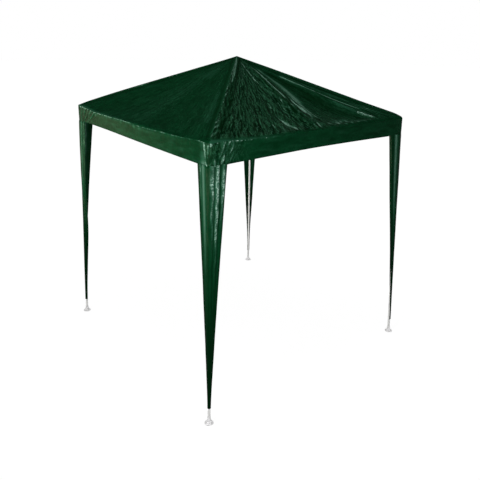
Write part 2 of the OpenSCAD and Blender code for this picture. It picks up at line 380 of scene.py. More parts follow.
def along_list(x, points):
    """Straight lines through a short list of (place, height)."""
    for (a, p), (b, q) in zip(points, points[1:]):
        if x <= b:
            return p + (q - p) * (x - a) / (b - a)
    return points[-1][1]


def turned(k, x, y, z):
    """A point given on the front side, turned to side k."""
    c, s = ((1, 0), (0, 1), (-1, 0), (0, -1))[k]
    return Vector((c * x - s * y, s * x + c * y, z))


def rounded(x, out, radius):
    """A point x along a side at distance out, and its outward normal, with the corner rounded in plan."""
    reach = abs(x) - (out - radius)
    if radius < 1e-6 or reach <= 0:
        return (x, -out), (0.0, -1.0)
    turn = min(reach / radius, 1.0) * math.pi / 4
    side = math.copysign(1.0, x)
    normal = (side * math.sin(turn), -math.cos(turn))
    return (side * (out - radius) + radius * normal[0], -(out - radius) + radius * normal[1]), normal


# Creases that fan out from the crown: place across the panel, height in millimetres
CREASES = {
    "front": ((-1, 0), (-0.94, -4), (-0.86, 5), (-0.74, -6), (-0.62, 0), (-0.5, -6), (-0.38, 1), (-0.3, -5),
              (-0.22, 2), (-0.12, -9), (-0.04, 12), (0, 20), (0.06, 13), (0.1, 11), (0.2, -16), (0.34, -24),
              (0.5, -32), (0.64, -24), (0.72, -2), (0.78, -8), (0.82, -3), (0.86, -6), (0.9, -2), (0.95, -4),
              (1, 0)),
    "right": ((-1, 0), (-0.85, -5), (-0.6, 6), (-0.45, -8), (-0.2, -3), (0, 8), (0.25, -10), (0.5, 4),
              (0.75, -6), (1, 0)),
    "back": ((-1, 0), (-0.8, -6), (-0.55, 5), (-0.3, -9), (0, 7), (0.2, -5), (0.45, 5), (0.7, -7),
             (0.88, 2), (1, 0)),
    "left": ((-1, 0), (-0.7, -2), (-0.35, 1), (0, 2.5), (0.3, -2), (0.65, 1), (1, 0)),
}
# How crumpled each panel is
CRUMPLE = {"front": 1.0, "right": 0.5, "back": 0.55, "left": 0.12}


def crumple(side, s, t):
    """Small crumples of a panel, 1 on their crests."""
    seed = SIDES.index(side) * 7.7
    bend = rumple(t * 5, s * 4, seed + 2.1)
    broad = rumple(t * 24 + 2.2 * bend, s * 10 + bend, seed)
    small = rumple(t * 44 - bend, s * 18 + 2 * bend, seed + 5.0)
    return 1 - 2.6 * abs(broad) - 1.2 * abs(small)


# How a corner of the cover lies: share of the full bend, then in metres how far it is held up, how far that
# reaches up the hip and along the eave, and how far the hem is drawn up
CornerLie = namedtuple("CornerLie", "bend lift up_hip along_eave hem")
CORNER_LIE = {
    "fl": CornerLie(0.8, 0.018, 0.4, 0.24, -0.006),
    "fr": CornerLie(1.0, 0.004, 0.26, 0.07, -0.007),
    "br": CornerLie(1.0, 0.006, 0.26, 0.1, 0.002),
    "bl": CornerLie(0.3, 0.022, 0.95, 0.24, 0.014),
}
# The roof's slope, its crown, and the radius, distance out and height of its bend over an eave
EaveLine = namedtuple("EaveLine", "pitch crown bend out z")
# How far the hem of each side is drawn up between its corners in metres, where, and over which share of it
HEM_RISE = {"front": (0.0135, 0.0, 0.75), "right": (0.010, 0.1, 0.7), "back": (0.009, -0.1, 0.7),
            "left": (0.012, -0.65, 0.7)}


def corner_lie(k, t):
    """How the corner lies at the near end of side k."""
    return CORNER_LIE[("fr", "br", "bl", "fl")[k if t > 0 else k - 1]]


def hem_lift(k, t):
    """How far the hem of side k is drawn up."""
    rise, place, share = HEM_RISE[SIDES[k]]
    ends = corner_lie(k, -1).hem * (1 - t) / 2 + corner_lie(k, 1).hem * (1 + t) / 2
    return ends + rise * hump(t, place, share) * smooth((1 - abs(t)) / 0.2)


def eave_line(k, t, sizes):
    """The line of the roof down to the eave of side k."""
    pitch = math.atan((CROWN_Z - EAVE_Z - SOLID_SHEET) / (0.996 * sizes.half_width))
    crown = EAVE_Z + SOLID_SHEET / math.cos(pitch) + sizes.half_width * math.tan(pitch)
    full = corner_lie(k, t).bend * smooth((abs(t) - 0.86) / 0.13)
    bend = sizes.eave_radius + (sizes.hip_radius - sizes.eave_radius) * full
    if SIDES[k] == "left":
        bend += 9 * MM * hump(t, 0.16, 0.2) - 3 * MM * hump(t, -0.14, 0.1)
    out = sizes.half_width - bend
    return EaveLine(pitch, crown, bend, out, crown - out * math.tan(pitch) - bend / math.cos(pitch))


def corner_lift(k, t, out):
    """How far the corner connectors and the ribs' ends hold the sheet up."""
    lie = corner_lie(k, t)
    on_hip = smooth((out - SIDE + lie.up_hip) / (0.85 * lie.up_hip))
    return lie.lift * hump((1 - abs(t)) * out, 0, lie.along_eave) * on_hip


def roof_lift(side, s, t, out, folds):
    """Height of a roof panel over its plane, s from crown to eave and t from hip to hip."""
    belly = 6.75 * s * s * (1 - s)
    rise = -folds.sag * (1 - t * t) * belly
    to_rail = smooth((RAIL_OUT / SIDE - s) / 0.06)
    fan = sum(along_list(t + d, CREASES[side]) for d in (-0.012, 0, 0.012)) / 3 * smooth((1 - abs(t)) / 0.03)
    rise += fan * MM * folds.crease * 1.5 * s ** 0.75 * (1 - s ** 7) * smooth((s - 0.02) / 0.1) * to_rail
    loose = CRUMPLE[side] * smooth(s / 0.12) * to_rail * smooth((1 - abs(t)) / 0.06)
    if side == "front":
        loose *= 1.0 - 0.55 * smooth((t - 0.12) / 0.2)
    cell = noise.fractal(Vector((t * 6.5 + 3.1, s * 3.4, SIDES.index(side) * 7.7)), 0.9, 2.2, 3)
    rise += folds.crumple * loose * (0.25 - abs(cell) * 1.2 + 0.4 * crumple(side, s, t))
    square_to_hip = 0.7071
    off_hip = (1 - abs(t)) * out * square_to_hip
    ridge = 3.5 * hump(off_hip, 0, 12 * MM) - 3.0 * hump(off_hip, 38 * MM, 13 * MM)
    rise += ridge * MM * smooth(out / 0.25) * smooth((SIDE - out) / 0.08)
    seam = smooth((s - 0.9) / 0.08) * smooth((1 - abs(t)) / 0.04) * (0.5 if side == "left" else 1)
    wave = math.sin(t * 55 + 2.5 * rumple(t * 9, 1.3, SIDES.index(side)))
    return rise + corner_lift(SIDES.index(side), t, out) + folds.pucker * seam * wave


# Painted highlights on a panel's creases and facets, or painted shade where the strength is below nought:
# strength, then places down, across and wide
CREASE_LIGHT_AND_SHADE = {
    "front": (
        (1.1, (0.0, -0.84, 0.12), (0.2, -0.88, 0.07), (0.37, -0.91, 0.025)),
        (0.45, (0.32, -0.9, 0.018), (0.95, -0.975, 0.012)),
        (1.0, (0.1, 0.2, 0.04), (0.2, 0.11, 0.032), (0.42, 0.035, 0.018)),
        (0.95, (0.38, 0.035, 0.018), (0.58, 0.022, 0.014)),
        (0.5, (0.54, 0.025, 0.014), (0.72, -0.005, 0.011), (0.85, -0.01, 0.009)),
        (0.45, (0.8, -0.01, 0.01), (1.0, -0.015, 0.009)),
        (0.65, (0.16, 0.42, 0.06), (0.38, 0.37, 0.09), (0.56, 0.26, 0.075), (0.68, 0.16, 0.06),
         (0.8, 0.1, 0.055), (0.88, 0.14, 0.03)),
        (-0.5, (0.86, 0.1, 0.02), (0.93, 0.08, 0.025)),
        (0.5, (0.82, 0.04, 0.012), (0.98, 0.035, 0.012)),
        (0.5, (0.86, 0.37, 0.06), (0.92, 0.38, 0.12), (0.985, 0.42, 0.2)),
        (0.9, (0.58, 0.1, 0.018), (0.67, 0.064, 0.016), (0.8, 0.05, 0.014)),
        (0.8, (0.08, -0.3, 0.04), (0.2, -0.265, 0.025), (0.38, -0.23, 0.016)),
        (0.25, (0.34, -0.235, 0.014), (0.58, -0.15, 0.012), (0.72, -0.12, 0.01)),
        (0.28, (0.35, -0.1, 0.012), (0.57, -0.07, 0.012), (1.0, -0.03, 0.01)),
        (0.5, (0.72, -0.36, 0.014), (0.88, -0.27, 0.024)),
        (0.75, (0.84, -0.285, 0.02), (0.92, -0.235, 0.028), (0.975, -0.2, 0.032)),
        (0.3, (0.6, -0.32, 0.012), (0.72, -0.28, 0.012)),
        (0.25, (0.8, -0.43, 0.016), (0.95, -0.41, 0.016)),
        (0.4, (0.66, 0.69, 0.02), (0.85, 0.7, 0.025)),
        (0.8, (0.28, 0.69, 0.03), (0.53, 0.745, 0.022), (0.7, 0.77, 0.018), (0.83, 0.805, 0.014)),
        (0.55, (0.25, 0.815, 0.028), (0.5, 0.845, 0.02), (0.95, 0.84, 0.01)),
        (0.4, (0.55, 0.875, 0.012), (0.95, 0.88, 0.01)),
        (0.4, (0.45, 0.915, 0.012), (0.96, 0.915, 0.01)),
        (0.3, (0.25, 0.945, 0.008), (0.96, 0.955, 0.008)),
        (0.35, (0.14, -0.5, 0.02), (0.36, -0.63, 0.025)),
        (0.3, (0.12, -0.4, 0.02), (0.3, -0.52, 0.02)),
        (-0.9, (0.3, -0.025, 0.014), (0.73, -0.03, 0.012), (1.0, -0.04, 0.01)),
        (-0.55, (0.22, 0.6, 0.06), (0.45, 0.63, 0.055), (0.66, 0.63, 0.04)),
        (-0.9, (0.26, 0.19, 0.02), (0.46, 0.125, 0.028), (0.6, 0.06, 0.014), (0.69, 0.03, 0.01),
         (0.9, 0.015, 0.008)),
        (-0.6, (0.2, 0.52, 0.1), (0.5, 0.5, 0.11), (0.65, 0.54, 0.1), (0.76, 0.54, 0.08), (0.85, 0.6, 0.05),
         (0.93, 0.63, 0.04)),
        (-0.5, (0.2, 0.735, 0.02), (0.6, 0.787, 0.014), (0.95, 0.83, 0.012)),
        (-0.5, (0.3, 0.84, 0.012), (0.95, 0.86, 0.01)),
        (-0.5, (0.3, 0.88, 0.012), (0.95, 0.897, 0.01)),
        (-0.5, (0.3, 0.925, 0.012), (0.95, 0.935, 0.01)),
        (-0.4, (0.1, -0.66, 0.05), (0.4, -0.84, 0.04), (0.95, -0.93, 0.025)),
    ),
    "left": ((0.14, (0.45, 0.84, 0.07), (0.85, 0.86, 0.08)), (0.12, (0.12, 0.3, 0.25), (0.35, 0.1, 0.3))),
}
# Places of a panel with painted white glints, in the same form
PAINTED_GLINTS = {
    "front": ((1.5, (0.82, 0.7, 0.014), (0.88, 0.706, 0.024), (0.96, 0.722, 0.014)),
              (1.2, (0.92, 0.17, 0.02), (0.97, 0.2, 0.02))),
    "left": ((0.9, (0.55, -0.975, 0.015), (0.68, -0.975, 0.015)),),
}


def stroke(s, t, strength, *places):
    """A crease through a few places, each given as down, across and wide."""
    first, last = places[0][0], places[-1][0]
    for (a, p, u), (b, q, v) in zip(places, places[1:]):
        if a <= s <= b:
            k = (s - a) / (b - a)
            ends = smooth((s - first) / 0.05 + 0.15) * smooth((last - s) / 0.04 + 0.15)
            return strength * ends * hump(t, p + (q - p) * k, u + (v - u) * k)
    return 0.0


def strokes(kind, side, s, t):
    """The creases of one kind on a panel, added up."""
    return sum(stroke(s, t, *crease) for crease in kind.get(side, ()))


def roof_light_and_shade(side, s, t, out):
    """Painted light and shade of the roof: highlights and whitish glints on its crests and creases, painted
    shade beside its hip seams and in its hollows.
    """
    off_hip = (1 - abs(t)) * out
    # Painted highlight on the hip seam's ridge, painted shade in the dip beside it
    crest = 0.3 * hump(off_hip, 0, 9 * MM) - 0.7 * hump(off_hip, 40 * MM, 14 * MM)
    loose = CRUMPLE[side] * smooth(s / 0.2)
    if side == "front":
        loose *= 1 - 0.8 * smooth((t - 0.05) / 0.15)
    # Painted light on the side of each small crumple that faces the light, painted shade on the other
    relief = crumple(side, s, t + 0.01) - crumple(side, s, t - 0.01)
    crest += min(loose * (0.75 * relief + 0.12 * crumple(side, s, t) - 0.12), 0.4)
    flecks = 0.85 + 1.2 * rumple(t * 45, s * 60, 6.6)
    # Painted highlights and shade along the listed creases, and painted glints broken into flecks
    crest += strokes(CREASE_LIGHT_AND_SHADE, side, s, t) + strokes(PAINTED_GLINTS, side, s, t) * max(flecks, 0.0)
    if side == "front":
        # Painted highlights and shade on the rucks along the front eave
        rucks = rumple(t * 24, s * 30 + t * 20, 4.4) * smooth((t - 0.02) / 0.06) * smooth((0.62 - t) / 0.2)
        crest += 1.2 * rucks * smooth((s - 0.86) / 0.1)
    crest *= 1 - smooth((s - 0.976) / 0.014)
    # Painted light on raised creases and painted shade in sunk ones
    if side != "front":
        crest += 0.04 * along_list(t, CREASES[side]) * smooth(s / 0.15) * smooth((1 - s) / 0.05)
    # Painted highlight along the eave seam
    seam = {"front": smooth((-0.3 - t) / 0.4), "left": smooth((0.2 - t) / 0.6)}.get(side, 0.7)
    crest += 0.3 * seam * smooth((s - 0.985) / 0.012)
    return max(min(crest, 1.0), -1.0)


def spread(x):
    """Even steps made closer near both ends."""
    return 1.25 * x - 0.25 * x ** 3


def new_piece(name, bm, thickness):
    """A piece of the woven sheet, with its thickness on the inside."""
    mesh = bpy.data.meshes.new(name)
    bm.to_mesh(mesh)
    bm.free()
    mesh.shade_smooth()
    piece = bpy.data.objects.new(name, mesh)
    bpy.context.scene.collection.objects.link(piece)
    mesh.materials.append(bpy.data.materials["green_woven_sheet"])
    wall = piece.modifiers.new("Sheet", "SOLIDIFY")
    wall.thickness = thickness
    wall.offset = -1.0
    return piece


def sheet_grid(bm, across, down, shape):
    """Adds a grid and lays each vertex where shape(x, y) says: point, cloth uv, fan uv, crinkle, painted
    light and shade.
    """
    cloth = bm.loops.layers.uv.get("cloth") or bm.loops.layers.uv.new("cloth")
    fan = bm.loops.layers.uv.get("fan") or bm.loops.layers.uv.new("fan")
    crinkle = bm.verts.layers.float.get("crinkle") or bm.verts.layers.float.new("crinkle")
    crest = bm.verts.layers.float.get("crest") or bm.verts.layers.float.new("crest")
    grid = bmesh.ops.create_grid(bm, x_segments=across, y_segments=down, size=1.0)
    maps = {}
    for vert in grid["verts"]:
        point, flat, polar, loose, white = shape(vert.co.x, (1 - vert.co.y) / 2)
        vert.co = point
        vert[crinkle], vert[crest] = loose, white
        maps[vert] = flat, polar
    for face in {f for v in grid["verts"] for f in v.link_faces}:
        for loop in face.loops:
            loop[cloth].uv, loop[fan].uv = maps[loop.vert]


def sewn(bm):
    """Sews a sheet's panels along their edges and turns its faces outwards."""
    bmesh.ops.remove_doubles(bm, verts=bm.verts, dist=SEWN)
    bmesh.ops.recalc_face_normals(bm, faces=bm.faces)
    if sum(f.normal.dot(f.calc_center_median().xy.to_3d()) for f in bm.faces) < 0:
        bmesh.ops.reverse_faces(bm, faces=bm.faces)
    return bm


class GAZEBO_OT_finish_frame(Operator):
    """Gives the tubes, connectors and feet their finishes."""
    bl_idname = "gazebo.finish_frame"
    bl_label = "Finish the frame"

    def execute(self, context):
        colours = context.scene.gazebo_colours
        coat = powder_coat("white_powder_coat", colours)
        plastic = moulded("white_moulding", colours.moulding, rough=0.36)
        foot = moulded("grey_foot_moulding", colours.foot, rough=0.40)
        for name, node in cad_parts.items():
            if name.startswith("foot"):
                finish = foot
            elif name.startswith(("corner", "crown")):
                finish = plastic
            elif name.startswith(("leg", "rib", "eave")):
                finish = coat
            else:
                continue
            node.data.materials.clear()
            node.data.materials.append(finish)
        return {"FINISHED"}


class GAZEBO_OT_make_finishes(Operator):
    """Makes the woven sheet that the cover is cut from."""
    bl_idname = "gazebo.make_finishes"
    bl_label = "Make the sheet finish"

    def execute(self, context):
        woven_sheet("green_woven_sheet", context.scene.gazebo_colours)
        return {"FINISHED"}


class GAZEBO_OT_make_roof(Operator):
    """Lays the four sewn roof panels over the ribs as one sheet."""
    bl_idname = "gazebo.make_roof"
    bl_label = "Make the roof"

    rows = 112
    bend_rows = 8
    columns = {"front": 224, "right": 60, "back": 60, "left": 84}
    # Cloth in the seams: metres of the flat length, and square metres
    seam_length, seam_area = 0.02, 0.1

    def execute(self, context):
        sizes, folds = context.scene.gazebo_cover, context.scene.gazebo_folds
        half = sizes.half_width
        steps = self.rows - self.bend_rows
        bm = bmesh.new()
        for k, side in enumerate(SIDES):
            def lay(x, y, k=k, side=side):
                t = spread(x)
                row = y * self.rows
                s = min(row / steps, 1.0)
                eave = eave_line(k, t, sizes)
                if row <= steps:
                    out = s * (eave.out + eave.bend * math.sin(eave.pitch))
                    z = eave.crown - out * math.tan(eave.pitch)
                else:
                    lean = eave.pitch + (math.pi / 2 - eave.pitch) * (row - steps) / self.bend_rows
                    out = eave.out + eave.bend * math.sin(lean)
                    z = eave.z + eave.bend * math.cos(lean)
                z += roof_lift(side, min(out / half, 1.0), t, out, folds)
                radius = sizes.corner_radius * corner_lie(k, t).bend * smooth((out - half + 0.05) / 0.045)
                (px, py), _ = rounded(t * out, out, radius)
                span = out / math.cos(eave.pitch)
                loose = CRUMPLE[side] * smooth(s / 0.08) * smooth((0.99 - s) / 0.014)
                if side == "front":
                    loose *= 1.0 - 0.6 * smooth((t - 0.1) / 0.2)
                # Less crumpled where painted crease highlights run, so they stay whole; painted glints are
                # left broken into specks
                wear_and_highlight = sum(max(stroke(s, t, *crease), 0.0) for crease in CREASE_LIGHT_AND_SHADE.get(side, ()))
                loose *= 1 - 0.8 * min(wear_and_highlight * 1.5, 1.0)
                loose = min(loose + strokes(PAINTED_GLINTS, side, s, t), 1.0)
                return (turned(k, px, py, z), (t * out, span + k * CLOTH_STEP), (t + FAN_STEP * k, span),
                        loose, roof_light_and_shade(side, s, t, out))
            sheet_grid(bm, self.columns[side], self.rows, lay)
        roof = new_piece("roof_sheet", sewn(bm), sizes.thickness)
        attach(roof, "cover")
        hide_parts(*("roof_" + s for s in SIDES))
        slant = half / math.cos(eave_line(0, 0.0, sizes).pitch)
        2 * half
        4 * slant + self.seam_length
        4.0 * half * slant + self.seam_area
        return {"FINISHED"}


# How the valance gathers at an end of a side: its depth, then in metres how far it reaches from the corner
# and how far apart its drag lines are
LOOSE_ENDS = {("front", -1): (1.0, 0.23, 0.026), ("front", 1): (0.45, 0.1, 0.026),
              ("left", 1): (1.0, 0.06, 0.026), ("left", -1): (0.85, 0.34, 0.036)}
HIDDEN_END = (0.5, 0.12, 0.026)
# Painted white highlight on a corner's tip
TIP_HIGHLIGHTS = {("front", -1): 1.0, ("left", 1): 1.0, ("left", -1): 0.7, ("back", 1): 0.7}


def drag_lines(e, v, seed, reach, spacing):
    """Drag lines from a corner, e metres along and v down the valance: 0 to 1 outwards."""
    e = e / (1.75 - 0.75 * v)
    fade = smooth((reach - e) / (0.6 * reach)) * smooth(e / 0.02)
    beat = math.sin(e * 2 * math.pi / spacing + 3.0 * rumple(e * 22, v * 2.2, seed))
    vary = 0.7 + 0.9 * rumple(e * 34, v * 2.0, seed + 9.0)
    gaps = 0.95 + 0.9 * rumple(e * 40, v * 3.0, seed + 4.0)
    return fade * min(max((0.5 + 0.5 * beat) * vary * gaps, 0.0), 1.0)


def seam_highlight(side, k, t):
    """Painted highlight along the valance's top seam on side k, in ticks."""
    if side == "left":
        ticks = 0.6 + rumple(t * 17, k, 3.3) + rumple(t * 70, k, 1.3) + smooth((-0.72 - t) / 0.12)
        return (0.65 + 0.35 * smooth((0.2 - t) / 0.8)) * ticks
    return 0.9 * smooth((-0.3 - t) / 0.4) * max(0.1 + 2.2 * rumple(t * 80, k, 1.3), 0.0)


def valance_light_and_shade(side, k, t, v, e, lines, near):
    """Painted highlights on the valance's drag lines and painted shade between them, with streaks of painted
    sheen and shade; on the left side also painted highlights on puffs and on a fold near the corner.
    """
    crest = 0.85 * lines ** 2 - 0.3 * near * smooth(0.4 - lines)
    streak = rumple(t * 9 + 2 * v, v * 6 - t * 3, 7.7 + k)
    if side != "left":
        return crest + 0.12 * streak
    puffs = max(rumple(t * 24, k, 5.1), 0.0) * hump(v, 0.14, 0.13) * smooth((0.3 - t) / 0.3)
    fold = hump(e, 0.05, 0.04) * smooth((t - 0.5) / 0.1) * (0.3 + 0.7 * v)
    return crest + 0.22 * streak + 0.7 * puffs + 0.95 * fold - 0.6 * near * smooth(1 - lines / 0.3)


class GAZEBO_OT_make_valance(Operator):
    """Hangs the valance round the eaves, with its seam welt and turned hem."""
    bl_idname = "gazebo.make_valance"
    bl_label = "Make the valance"

    columns, rows = 248, 22
    # How far it reaches up under the roof's edge
    overlap = 3 * MM
    # Cloth in the top seam and the turned hem, in metres of its width
    turnings = 0.03

    def execute(self, context):
        sizes, folds = context.scene.gazebo_cover, context.scene.gazebo_folds
        half = sizes.half_width
        bm = bmesh.new()
        for k, side in enumerate(SIDES):
            def lay(x, y, k=k, side=side):
                t = spread(x)
                v = y ** 1.25
                top = eave_line(k, t, sizes).z + corner_lift(k, t, half) + self.overlap
                drop = top - HEM_Z - hem_lift(k, t)
                z = top - v * drop
                e = (1 - abs(t)) * half
                hand = 1 if t > 0 else -1
                depth, reach, spacing = LOOSE_ENDS.get((side, hand), HIDDEN_END)
                lines = drag_lines(e, v, 2.0 * k + hand, reach, spacing) * depth
                ripple = rumple(t * 34, v * 0.8, k * 5.1) * hump(v, 0.05, 0.3)
                welt = (2.2 + 0.9 * ripple) * hump(v * drop, 4 * MM, 4 * MM) * smooth((e - 0.02) / 0.06)
                band = 0.7 * smooth((v * drop - drop + sizes.hem_band) / (2 * MM)) * smooth((e - 0.03) / 0.05)
                slack = 3.0 * v * math.sin(math.pi * (t + 1) / 2) * rumple(t * 2.6, 0.4, k * 2.2)
                out = lines * folds.gather + (welt + band + 0.8 * ripple + max(slack, -0.6)) * MM
                (px, py), (nx, ny) = rounded(t * half, half, sizes.corner_radius * corner_lie(k, t).bend)
                point = turned(k, px + nx * out, py + ny * out, z)
                near = depth * smooth((reach * 1.5 - e) / reach)
                # Painted highlights along the top seam and on the corner's tip, added to the drag lines'
                # painted light and shade
                seam = seam_highlight(side, k, t) * hump(v * drop, 2 * MM, 4.5 * MM)
                tip_highlight = TIP_HIGHLIGHTS.get((side, hand), 0.0) * hump(e, 0, 0.02) * hump(v * drop, 12 * MM, 13 * MM)
                loose = 0.04 + 0.6 * near + 0.9 * seam + tip_highlight
                white = seam + tip_highlight + valance_light_and_shade(side, k, t, v, e, lines, near)
                return (point, (t * half + k * CLOTH_STEP, z), (t * half * 0.8 + FAN_STEP * k, z * 2.0),
                        min(loose, 1.0), min(max(white, -1.0), 1.0))
            sheet_grid(bm, self.columns, self.rows, lay)
        valance = new_piece("valance_band", sewn(bm), sizes.thickness)
        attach(valance, "cover")
        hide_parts(*("valance_" + s for s in SIDES))
        drop = eave_line(0, 0.0, sizes).z - HEM_Z
        8 * half
        drop + self.turnings
        return {"FINISHED"}


# Upright folds across a drape, free edge to free edge: place and height
DRAPE_FOLDS = ((-1, 0.1), (-0.88, 0), (-0.72, 0.35), (-0.62, 0.2), (-0.44, 1), (-0.2, 0.45), (-0.08, 0),
               (0.08, 0.7), (0.24, 0.1), (0.43, 1), (0.62, 0), (0.83, 0.75), (1, 0.3))
# Painted highlights on the folds of each drape, or painted shade on one: place, width, share of the height it
# runs down, strength and how far it is broken into glints
DRAPE_LIGHT_AND_SHADE = {
    "fl": ((-0.46, 0.2, 0.62, 0.62, 0.0), (0.1, 0.11, 0.4, 0.75, 1.0), (0.44, 0.12, 0.52, 1.0, 1.0),
           (0.83, 0.1, 0.32, 0.85, 1.0), (-0.8, 0.1, 0.2, 0.55, 1.0), (-0.13, 0.16, 0.75, -0.25, 0.0)),
    "fr": ((-0.63, 0.16, 0.85, 0.68, 0.1), (0.45, 0.15, 0.5, 0.6, 0.6)),
    "br": ((-0.46, 0.2, 0.6, 0.5, 0.3), (0.4, 0.15, 0.5, 0.6, 0.6)),
    "bl": ((0.4, 0.2, 0.7, 0.5, 0.3), (0.83, 0.09, 0.3, 0.5, 1.0), (-0.45, 0.15, 0.5, 0.6, 0.6)),
}
# Each drape: how hollow its free edges are cut, how far down it comes to lie on its leg and begins to curl,
# and how far it is turned round the leg
DRAPE_LIE = {"fl": (1.2, 0.9, 0.75, 0.0), "fr": (1.3, 0.35, 0.6, 0.0), "br": (1.25, 0.6, 0.6, 0.0),
             "bl": (1.35, 0.6, 0.3, 14 * MM)}


def wrapped(e, radius, curl, width):
    """A point e along a sheet bent round a corner, and its normal: out and across from the bend's middle."""
    side, run = math.copysign(1.0, e), abs(e)
    turn = min(run / radius, math.pi / 4)
    out, across = radius * math.cos(turn), radius * math.sin(turn)
    rest = run - radius * math.pi / 4
    if rest > 0:
        wide = max((width - radius * math.pi / 4) / max(curl, 0.001), radius)
        last = turn + rest / wide
        out += wide * (math.cos(last) - math.cos(turn))
        across += wide * (math.sin(last) - math.sin(turn))
        turn = last
    return (out, side * across), (math.cos(turn), side * math.sin(turn))


class GAZEBO_OT_make_drapes(Operator):
    """Hangs a tapering drape down each leg, bent round its corner."""
    bl_idname = "gazebo.make_drapes"
    bl_label = "Make the leg drapes"

    columns, rows = 84, 150
    # How far a drape reaches up behind the valance, and its cloth over the area of its plain outline
    tucked = 8 * MM
    take_up = 1.055

    def execute(self, context):
        sizes, folds = context.scene.gazebo_cover, context.scene.gazebo_folds
        half = sizes.half_width
        end = DRAPE_END_Z
        lean = math.tan(LEG_LEAN)
        for k, corner in enumerate(CORNERS):
            taper, settled, curled, turned_by = DRAPE_LIE[corner]
            radius = sizes.corner_radius * CORNER_LIE[corner].bend
            hem = HEM_Z + CORNER_LIE[corner].hem
            top = hem + self.tucked

            def lay(x, y, k=k, hem=hem, top=top, radius=radius, taper=taper, settled=settled, curled=curled,
                    turned_by=turned_by, lit_and_shaded_folds=DRAPE_LIGHT_AND_SHADE[corner]):
                z = top - y * (top - end)
                leg = LEG_FOOT - z * lean
                lies = smooth(y / settled)
                out = half - SOLID_SHEET * smooth((z - hem + 4 * MM) / (4 * MM)) + max(hem - z, 0.0) * lean
                out += (leg + LEG_WRAP - out) * lies
                bend = radius + (LEG_WRAP - radius) * lies
                width = sizes.drape_end + (sizes.drape_top - sizes.drape_end) * (1 - y) ** taper
                e = x * width
                curl = smooth((y - curled) / 0.4)
                (away, across), (na, nx) = wrapped(e + turned_by * lies, bend, curl, width)
                away += (out - bend) * math.sqrt(2)
                sway = 0.09 * rumple(x * 1.5, y * 2.5, k * 4.0) * (1 - x * x)
                pleat = sum(along_list(x + sway + d, DRAPE_FOLDS) for d in (-0.06, -0.03, 0, 0.03, 0.06)) / 5
                fine = noise.fractal(Vector((x * 8.0, y * 6.0, k * 9.0)), 0.8, 2.1, 3)
                lift = folds.gather * 1.5 * pleat * (1 - 0.82 * y) + 1.5 * MM * (0.35 + fine) * (1 - 0.7 * y)
                lift = max(lift, 0.0)
                point = Vector((across + nx * lift, -away - na * lift, z))
                point = Matrix.Rotation(math.pi / 2 * k + math.pi * 0.75, 4, "Z") @ point
                # Painted highlights on the bright folds, broken into glints where speck is high
                glow, speck = 0.0, 0.05
                wander = 0.11 * rumple(x * 4.0, y * 22.0, k * 3.0 + 2.2)
                for place, wide, run, strength, broken in lit_and_shaded_folds:
                    lit = strength * hump(x + sway + broken * wander, place, wide)
                    lit *= smooth((run - y) / (0.8 * run))
                    lit *= 1 + 0.7 * broken * rumple(place * 5.0, y * 30.0, k + 7.7)
                    glow += lit
                    speck += broken * lit
                # Painted shade in the hollows between pleats, and darker toward the drape's low end
                glow -= 0.4 * (1 - min(glow, 1.0)) * smooth((0.4 - pleat) / 0.4)
                glow -= 0.95 * smooth((y - 0.3) / 0.5)
                return point, (e + k, z), (x * 0.25 + 3 * k, y), min(speck, 1.0), max(min(glow, 1.0), -1.0)

            bm = bmesh.new()
            sheet_grid(bm, self.columns, self.rows, lay)
            drape = new_piece("leg_drape_" + corner, sewn(bm), sizes.thickness)
            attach(drape, "cover")
            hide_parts(*(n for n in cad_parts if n.startswith("drape_" + corner)))
            mean = sizes.drape_end + (sizes.drape_top - sizes.drape_end) / (1 + taper)
            2 * sizes.drape_top
            top - end
            2 * mean * (top - end) * self.take_up
        return {"FINISHED"}


